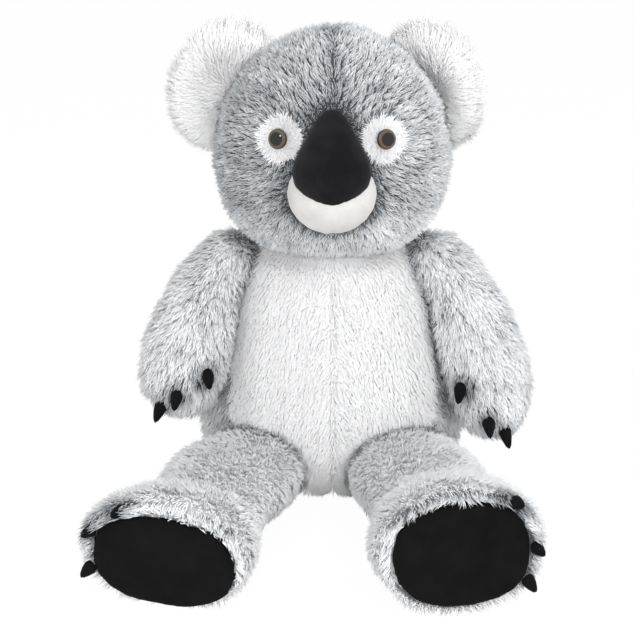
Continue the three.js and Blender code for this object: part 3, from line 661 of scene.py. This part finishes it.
def body_comb(at):
    comb = np.zeros_like(at)
    near_seam = np.exp(-np.abs(at[:, 0]) / PARTING_WIDTH) * (1 - eased(at[:, 1], *FRONT_ENDS))
    comb[:, 0] = np.sign(at[:, 0]) * (SIDEWAYS + PARTED * near_seam)
    comb[:, 2] = -1
    return comb


torso_at = places(skins["torso"])
seam_dent = BELLY_SEAM_DEPTH * np.exp(-((torso_at[:, 0] / BELLY_SEAM_WIDTH) ** 2))
combed("torso", BODY_DEPTH + seam_dent, body_comb(torso_at), BODY_LENGTH, PILE_LEAN, BODY_TONE)
grey_look = (frosted_grey, "grey_plush", BODY_PILE)
belly_look = (white_pile, "white_plush", BELLY_PILE)
dressed("torso", "torso", {
    panel: belly_look if panel.startswith("belly") else grey_look for panel in FORMS["torso"]
}, seed=100)

# Head
# Two grey panels meet in a seam over the crown. Their pile is combed away from the nose on all sides, and
# each eye sits in a round patch of short white pile.
HEAD_PILE = dict(spacing=0.0018, width=0.0011, tuft=0.009, pull=0.95, stray=0.2, swirl=1.2)
PATCH_PILE = dict(spacing=0.0011, width=0.0009, tuft=0.006, pull=0.5, swirl=0.9, stray=0.35, uneven=0.55)
HEAD_DEPTH = 0.008
HEAD_LENGTH = 0.015
HEAD_TONE = 0.30
LOCK_SIZE = 0.009
LOCK_TONE = 0.2  # how much paler or darker a lock is than the next
CROWN_SEAM_WIDTH = 0.012
CROWN_SEAM_DEPTH = 0.003
CROWN_SEAM_HEIGHTS = (0.6, 0.64)  # over which the seam begins
CROWN_DARKER = 0.35
CROWN_PARTING_WIDTH = 0.02
CROWN_PARTING_HEIGHTS = (0.6, 0.66)
CROWN_PARTED = 0.8
BEHIND = (0, 0.08)  # from the ears back, over which the pile turns down
BEHIND_DOWN = 1.5
CHIN_PALER = 0.28
CHIN_HEIGHT = 0.03  # above the muzzle's underside
CHIN_FRONT = (0.02, 0.08)
PAINTED_LIT_SIDE_PALER = 0.8  # painted light: the head is paler towards +X, the side the key lamp lights, by this for each metre across
PATCH_LENGTH = 0.014
PATCH_EDGE = (0.030, 0.038)  # from the middle of an eye patch, over which it ends
PATCH_COMB_EDGE = (0.03, 0.06)  # over which the comb leaves the eye and follows the head
PATCH_NODES = [f"eye_patch_{side}" for side in SIDES]
nose_low, nose_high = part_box("nose")
NOSE_BACK = np.array([(nose_low.x + nose_high.x) / 2, nose_high.y, (nose_low.z + nose_high.z) / 2])


def middle_of(node):
    return np.array(sum((Vector(corner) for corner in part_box(node)), Vector())) / 2


def head_comb(at):
    comb = unit(at - NOSE_BACK)
    comb[:, 2] -= BEHIND_DOWN * eased(at[:, 1], *BEHIND)
    parting = np.exp(-np.abs(at[:, 0]) / CROWN_PARTING_WIDTH) * eased(at[:, 2], *CROWN_PARTING_HEIGHTS)
    comb[:, 0] += CROWN_PARTED * np.sign(at[:, 0]) * parting
    for node in PATCH_NODES:
        away = at - middle_of(node)
        near = 1 - eased(np.linalg.norm(away, axis=1), *PATCH_COMB_EDGE)
        comb = comb * (1 - near[:, None]) + unit(away) * near[:, None]
    return comb


head_at = places(skins["head"])
crown_seam = np.exp(-np.abs(head_at[:, 0]) / CROWN_SEAM_WIDTH) * eased(head_at[:, 2], *CROWN_SEAM_HEIGHTS)
from_patch = np.min([np.linalg.norm(head_at - middle_of(node), axis=1) for node in PATCH_NODES], axis=0)
on_patch = 1 - eased(from_patch, *PATCH_EDGE)
chin = eased(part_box("muzzle")[0].z + CHIN_HEIGHT - head_at[:, 2], 0, CHIN_HEIGHT)
chin = chin * eased(-head_at[:, 1], *CHIN_FRONT)
head_tone = HEAD_TONE + LOCK_TONE * wavy(head_at, LOCK_SIZE) - CROWN_DARKER * crown_seam
# The head's tone holds painted light: it grows paler towards +X, the side that the key lamp lights.
combed(
    "head",
    HEAD_DEPTH + CROWN_SEAM_DEPTH * crown_seam,
    head_comb(head_at),
    HEAD_LENGTH + (PATCH_LENGTH - HEAD_LENGTH) * on_patch,
    PILE_LEAN,
    head_tone + CHIN_PALER * chin + PAINTED_LIT_SIDE_PALER * head_at[:, 0],
)
head_look = (frosted_grey, "grey_plush", HEAD_PILE)
patch_look = (white_pile, "white_plush", PATCH_PILE)
dressed("head", "head", {
    panel: patch_look if panel in PATCH_NODES else head_look for panel in FORMS["head"]
}, seed=200)

# Ears
# Each ear is two white panels round a thin stuffed core, sewn into the side of the head. Its long pile fans
# out from the root and hangs over the rim in locks.
EAR_PILE = dict(spacing=0.0008, width=0.0009, tuft=0.006, pull=0.4, stray=0.22, swirl=0.6, uneven=0.5)
EAR_LENGTH = 0.033
EAR_LEAN = 0.85
EAR_ROOT_REACH = 0.035  # from the root, over which the pile leans over
EAR_TONE = 1.0
EAR_SEEDS = {"right": 250, "left": 260}
TUFT_LONGER = 0.012  # beside the crown, where the pile stands up over the head
TUFT_COMB = np.array([-0.45, 0, 0.6])
TUFT_RISE = (0.55, 0.95)  # how steeply above the root the tuft begins and is full


def ear_pile(side, root):
    """The comb, length and lean of an ear: out from its root, and up in a longer tuft beside the crown."""
    flat = places(skins[f"{side}_ear"]) - root
    far = np.linalg.norm(flat, axis=1)
    upright = eased(flat[:, 2] / far, *TUFT_RISE)
    comb = unit(flat) + TUFT_COMB * [SIDES[side], 1, 1] * upright[:, None]
    return comb, EAR_LENGTH + TUFT_LONGER * upright, EAR_LEAN * eased(far, 0, EAR_ROOT_REACH)


ear_look = (white_pile, "white_plush", EAR_PILE)
for side, root in ear_roots.items():
    form = f"{side}_ear"
    combed(form, 0, *ear_pile(side, root), EAR_TONE)
    dressed(form, "head", {panel: ear_look for panel in FORMS[form]}, EAR_SEEDS[side])

# Nose and muzzle
# The nose is a stuffed black velour pad. It is sewn over a short off-white muzzle of the same kind of cloth,
# with a seam down its middle and faint creases beside it.
VELOUR_PATCHES = {"Scale": 28, "Detail": 4}  # noise cells in a metre
VELOUR_NAP = {"Scale": 900, "Detail": 2}
PRESSED = (0.35, 0.7)  # of the patches' noise, over which the worn colour comes in
NAP_SHARE = 0.35
NAP_TONES = (0.5, 1.5)
NAP_BUMP = {"Strength": 0.35, "Distance": 0.0006}
PAD_VOXEL = 0.0035
PAD_ROUNDING = 10
MUZZLE_SEAM_DEPTH = 0.0012
MUZZLE_SEAM_WIDTH = 0.003
MUZZLE_CREASE_DEPTH = 0.0005
MUZZLE_CREASE_WIDTH = 0.004
MUZZLE_CREASE_REACH = 0.02  # from the seam


def noise_on(tree, settings):
    """A socket with noise that is fixed to the piece."""
    where = add_node(tree, "ShaderNodeTexCoord").outputs["Object"]
    return add_node(tree, "ShaderNodeTexNoise", inputs={"Vector": where, **settings}).outputs["Fac"]


def velour(name, colour, worn, sheen):
    """Short close pile: a colour with soft pressed patches and a fine nap."""
    cloth, tree, surface = new_finish(name, {
        "Roughness": 0.9, "Specular IOR Level": 0.2, "Sheen Weight": sheen, "Sheen Roughness": 0.45
    })
    pressed = ramp(tree, noise_on(tree, VELOUR_PATCHES), PRESSED)
    nap = noise_on(tree, VELOUR_NAP)
    speckled = add_node(tree, "ShaderNodeMix", {"data_type": "RGBA", "blend_type": "MULTIPLY"}, {
        "Factor": NAP_SHARE,
        "A": colour_between(tree, (colour, worn), pressed),
        "B": ramp(tree, nap, (0, 1), NAP_TONES),
    })
    bump = add_node(tree, "ShaderNodeBump", inputs={"Height": nap, **NAP_BUMP})
    tree.links.new(speckled.outputs["Result"], surface.inputs["Base Color"])
    tree.links.new(bump.outputs["Normal"], surface.inputs["Normal"])
    return cloth


black_velour = velour("black_velour", (0.0035, 0.0032, 0.0042), (0.009, 0.0085, 0.010), 0.04)
sole_velour = velour("sole_velour", (0.0010, 0.0010, 0.0012), (0.0030, 0.0030, 0.0035), 0.012)
cream_velour = velour("cream_velour", (0.53, 0.522, 0.508), (0.61, 0.60, 0.585), 0.1)


def sewn(name, mesh, node, cloth, body):
    """A finished soft piece without pile, which stands for one CAD node."""
    mesh.shade_smooth()
    mesh.materials.clear()
    mesh.materials.append(cloth)
    piece = placed(name, mesh)
    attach(piece, body)
    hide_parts(node)


nose = rounded(["nose"], PAD_VOXEL, PAD_ROUNDING, "nose")
sewn("nose_pad", nose, "nose", black_velour, "head")

muzzle = rounded(["muzzle"], PAD_VOXEL, PAD_ROUNDING, "muzzle")
at, out = places(muzzle), normals(muzzle)
across = at[:, 0] - NOSE_BACK[0]
creases = np.sin(across / MUZZLE_CREASE_WIDTH) * np.exp(-((across / MUZZLE_CREASE_REACH) ** 2))
groove = MUZZLE_SEAM_DEPTH * np.exp(-((across / MUZZLE_SEAM_WIDTH) ** 2)) + MUZZLE_CREASE_DEPTH * creases
move(muzzle, at - out * groove[:, None])
sewn("muzzle_pad", muzzle, "muzzle", cream_velour, "head")

# Eyes
# Each eye is a domed plastic button: a black pupil in a brown iris under a clear gloss, with a shank that a
# washer holds behind the patch.
IRIS_COLOURS = ((0.05, 0.034, 0.022), (0.12, 0.086, 0.056))
IRIS_STREAKS = {"Scale": 9, "Detail": 3}
PUPIL_COLOUR = (0.004, 0.004, 0.004)
EYE_RINGS = [(0.62, 0.70), (0.91, 0.96)]  # where the pupil ends and where the dark rim begins
EYE_SIDES = 48
DOME_STEPS = 14
DOME_SHARE = 0.5  # the dome's height against its radius
EYE_BACK_SHARE = 0.96  # the flat back's radius against the dome's
EYE_EDGE = 0.0008
SHANK_RADIUS = 0.0035
SHANK_LENGTH = 0.02

eye_plastic, tree, surface = new_finish("eye_plastic", {
    "Roughness": 0.12, "Specular IOR Level": 0, "Coat Weight": 1, "Coat Roughness": 0.04
})
disc = add_node(tree, "ShaderNodeUVMap", {"uv_map": "disc"}).outputs[0]
reach = add_node(tree, "ShaderNodeVectorMath", {"operation": "LENGTH"}, {0: disc}).outputs["Value"]
streaks = add_node(tree, "ShaderNodeTexNoise", inputs={"Vector": disc, **IRIS_STREAKS}).outputs["Fac"]
colour = colour_between(tree, IRIS_COLOURS, streaks)
for ring, ends in zip(EYE_RINGS, ((1, 0), (0, 1))):
    colour = colour_between(tree, (colour, PUPIL_COLOUR), ramp(tree, reach, ring, ends, "SMOOTHSTEP"))
tree.links.new(colour, surface.inputs["Base Color"])

for side in SIDES:
    eye_at = places(frame["nodes"][f"eye_{side}"].data)
    washer = places(frame["nodes"][f"eye_washer_{side}"].data).mean(0)
    axis = Vector(unit(eye_at.mean(0) - washer))
    radius = np.linalg.norm(np.cross(eye_at - washer, np.array(axis)), axis=1).max()
    dome_top = ((eye_at - washer) @ np.array(axis)).max()
    base = Vector(washer) + axis * (dome_top - DOME_SHARE * radius)
    profile = []
    for step in range(1, DOME_STEPS):
        angle = math.pi / 2 * (1 - step / DOME_STEPS)
        profile.append((radius * math.cos(angle), DOME_SHARE * radius * math.sin(angle)))
    profile += [(radius, 0), (EYE_BACK_SHARE * radius, -EYE_EDGE)]
    profile += [(SHANK_RADIUS, -EYE_EDGE), (SHANK_RADIUS, -SHANK_LENGTH)]
    button = bmesh.new()
    rings = [[button.verts.new((0, 0, DOME_SHARE * radius))]]
    for out_by, up_by in profile:
        ring = []
        for k in range(EYE_SIDES):
            angle = 2 * math.pi * k / EYE_SIDES
            ring.append(button.verts.new((out_by * math.cos(angle), out_by * math.sin(angle), up_by)))
        rings.append(ring)
    rings.append([button.verts.new((0, 0, -SHANK_LENGTH))])
    for upper, lower in zip(rings, rings[1:]):
        for k in range(EYE_SIDES):
            after = (k + 1) % EYE_SIDES
            if len(upper) == 1:
                button.faces.new((upper[0], lower[k], lower[after]))
            elif len(lower) == 1:
                button.faces.new((upper[k], lower[0], upper[after]))
            else:
                button.faces.new((upper[k], lower[k], lower[after], upper[after]))
    bmesh.ops.recalc_face_normals(button, faces=button.faces)
    spot = button.loops.layers.uv.new("disc")
    for face in button.faces:
        for corner in face.loops:
            corner[spot].uv = corner.vert.co.xy / radius
    mesh = bpy.data.meshes.new(f"eye_button_{side}")
    button.to_mesh(mesh)
    button.free()
    mesh.transform(axis.to_track_quat("Z", "Y").to_matrix().to_4x4())
    mesh.transform(Matrix.Translation(base))
    mesh.shade_smooth()
    mesh.materials.append(eye_plastic)
    piece = placed(f"eye_button_{side}", mesh)
    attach(piece, "head")
    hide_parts(f"eye_{side}")

# Arms and legs
# Each limb is two grey panels round its own filling, and ends in a rounded root that turns in a seat in the
# body. Its pile is combed from the root to the hand or foot, and stands out round the sole.
LIMB_PILE = dict(spacing=0.0018, width=0.0012, tuft=0.010, pull=0.65, swirl=0.8)
LIMB_DEPTH = 0.009
LIMB_LENGTH = 0.019
LIMB_SEEDS = {"right_arm": 300, "left_arm": 310, "right_leg": 400, "left_leg": 410}
ARM_COMB = np.array([0.3, -0.1, -1.0])
ARM_TONE = 0.80
LEG_DROOP = 0.35  # of the comb, down from the leg's own line
LEG_LEAN = 0.72
LEG_TONE = 1.0
RIM_REACH = 0.035  # round a sole, where the pile stands out from the foot
RIM_STANDS_UP = 0.3
RIM_LONGER = 0.006
RIM_DARKER = 0.95  # above the sole, where the pile parts
RIM_TOP = 0.6  # how far up a skin faces where it counts as above


def arm_pile(side):
    """The comb, length, lean and tone of an arm: down it to the hand."""
    return ARM_COMB * [SIDES[side], 1, 1], LIMB_LENGTH, PILE_LEAN, ARM_TONE


def leg_pile(side):
    """The comb, length, lean and tone of a leg: along it to the foot, and out over the sole's edge."""
    hip = next(joint["pos_m"] for joint in frame["joints"] if joint["child"] == f"{side}_leg")
    sole = middle_of(f"sole_{side}")
    along = unit(sole - np.array(hip))
    at, out = places(skins[f"{side}_leg"]), normals(skins[f"{side}_leg"])
    rim = 1 - eased(room_round([surface_of(frame["nodes"][f"sole_{side}"].data)], at), 0, RIM_REACH)
    over = rim * eased(out[:, 2], 0, RIM_TOP)
    comb = along - np.array([0, 0, LEG_DROOP]) + unit(at - sole) * (rim - over)[:, None]
    length, lean = LIMB_LENGTH + RIM_LONGER * rim, LEG_LEAN - RIM_STANDS_UP * rim
    return comb, length, lean, LEG_TONE - RIM_DARKER * over


limb_look = (frosted_grey, "grey_plush", LIMB_PILE)
for side in SIDES:
    for limb, lies in (("arm", arm_pile(side)), ("leg", leg_pile(side))):
        form = f"{side}_{limb}"
        combed(form, LIMB_DEPTH, *lies)
        looks = {panel: limb_look for panel in FORMS[form] if "panel" in panel}
        dressed(form, form, looks, LIMB_SEEDS[form])

# Soles and claws
# Flat black velour soles are sewn into the feet. Each hand and foot has three small stuffed claws of the
# same cloth, set into the pile.
SOLE_VOXEL = 0.004
SOLE_DENT = 0.0022
SOLE_DENT_SIZE = 0.05
SOLE_DENT_SHARE = 0.5  # of a dent's depth, by which the whole sole sinks in
DENT_NOISE = (1, 2, 3)  # roughness, step and number of its octaves
CLAW_VOXEL = 0.0014
CLAW_ROUNDING = 8
CLAW_SHARE = {"hand": 0.92, "toe": 0.66}  # of the solid's length, with a blunt stuffed tip
CLAW_DROOP = 0.004
PAD_ABOVE_FLOOR = 0.001

for side in SIDES:
    sole = rounded([f"sole_{side}"], SOLE_VOXEL, PAD_ROUNDING, f"sole_{side}")
    at, out = places(sole), normals(sole)
    dents = np.array([noise.fractal(Vector(point) / SOLE_DENT_SIZE, *DENT_NOISE) for point in at])
    moved = at - out * (SOLE_DENT * (SOLE_DENT_SHARE + dents))[:, None]
    moved[:, 2] = np.maximum(moved[:, 2], PAD_ABOVE_FLOOR)
    move(sole, moved)
    sewn(f"sole_pad_{side}", sole, f"sole_{side}", sole_velour, f"{side}_leg")
    for limb, body in (("hand", f"{side}_arm"), ("toe", f"{side}_leg")):
        for number in (1, 2, 3):
            node = f"{limb}_claw_{side}_{number}"
            claw = rounded([node], CLAW_VOXEL, CLAW_ROUNDING, node)
            at = places(claw)
            axis = np.linalg.svd(at - at.mean(0), full_matrices=False)[2][0]
            along = (at - at.mean(0)) @ axis
            ends = [Vector(at[end]) for end in (along.argmin(), along.argmax())]
            first, last = [surfaces[body].find_nearest(end)[3] for end in ends]
            if first > last:
                axis, along = -axis, -along
            out_by = along - along.min()
            at = at - np.outer(out_by, axis) * (1 - CLAW_SHARE[limb])
            lowered = at[:, 2] - CLAW_DROOP * (out_by / out_by.max()) ** 2
            at[:, 2] = np.maximum(lowered, PAD_ABOVE_FLOOR)
            move(claw, at)
            felt = f"{limb}_claw_felt_{side}_{number}"
            sewn(felt, claw, node, sole_velour, body)

# Inside
# Loose polyester fibre fills every stuffed form, and a moulded washer locks each eye's shank. They are
# hidden by the panels and keep their own shape.
FIBRE_COLOURS = ((0.72, 0.72, 0.70), (0.93, 0.93, 0.91))
FIBRE_WISPS = {"Scale": 60, "Detail": 5, "Distortion": 1.5}
WASHER_COLOURS = ((0.66, 0.66, 0.62), (0.74, 0.74, 0.71))
WASHER_GRAIN = {"Scale": 400}
WASHER_ROUGHNESS = (0.35, 0.55)

fibre, tree, surface = new_finish("fibre_fill", {"Roughness": 1})
wisps = noise_on(tree, FIBRE_WISPS)
tree.links.new(colour_between(tree, FIBRE_COLOURS, wisps), surface.inputs["Base Color"])

moulded, tree, surface = new_finish("washer_plastic", {})
grain = noise_on(tree, WASHER_GRAIN)
tree.links.new(colour_between(tree, WASHER_COLOURS, grain), surface.inputs["Base Color"])
tree.links.new(ramp(tree, grain, (0, 1), WASHER_ROUGHNESS), surface.inputs["Roughness"])

for node, thing in frame["nodes"].items():
    if "filling" in node or "washer" in node:
        thing.data.materials.clear()
        thing.data.materials.append(moulded if "washer" in node else fibre)

bpy.data.objects.remove(strand_model)
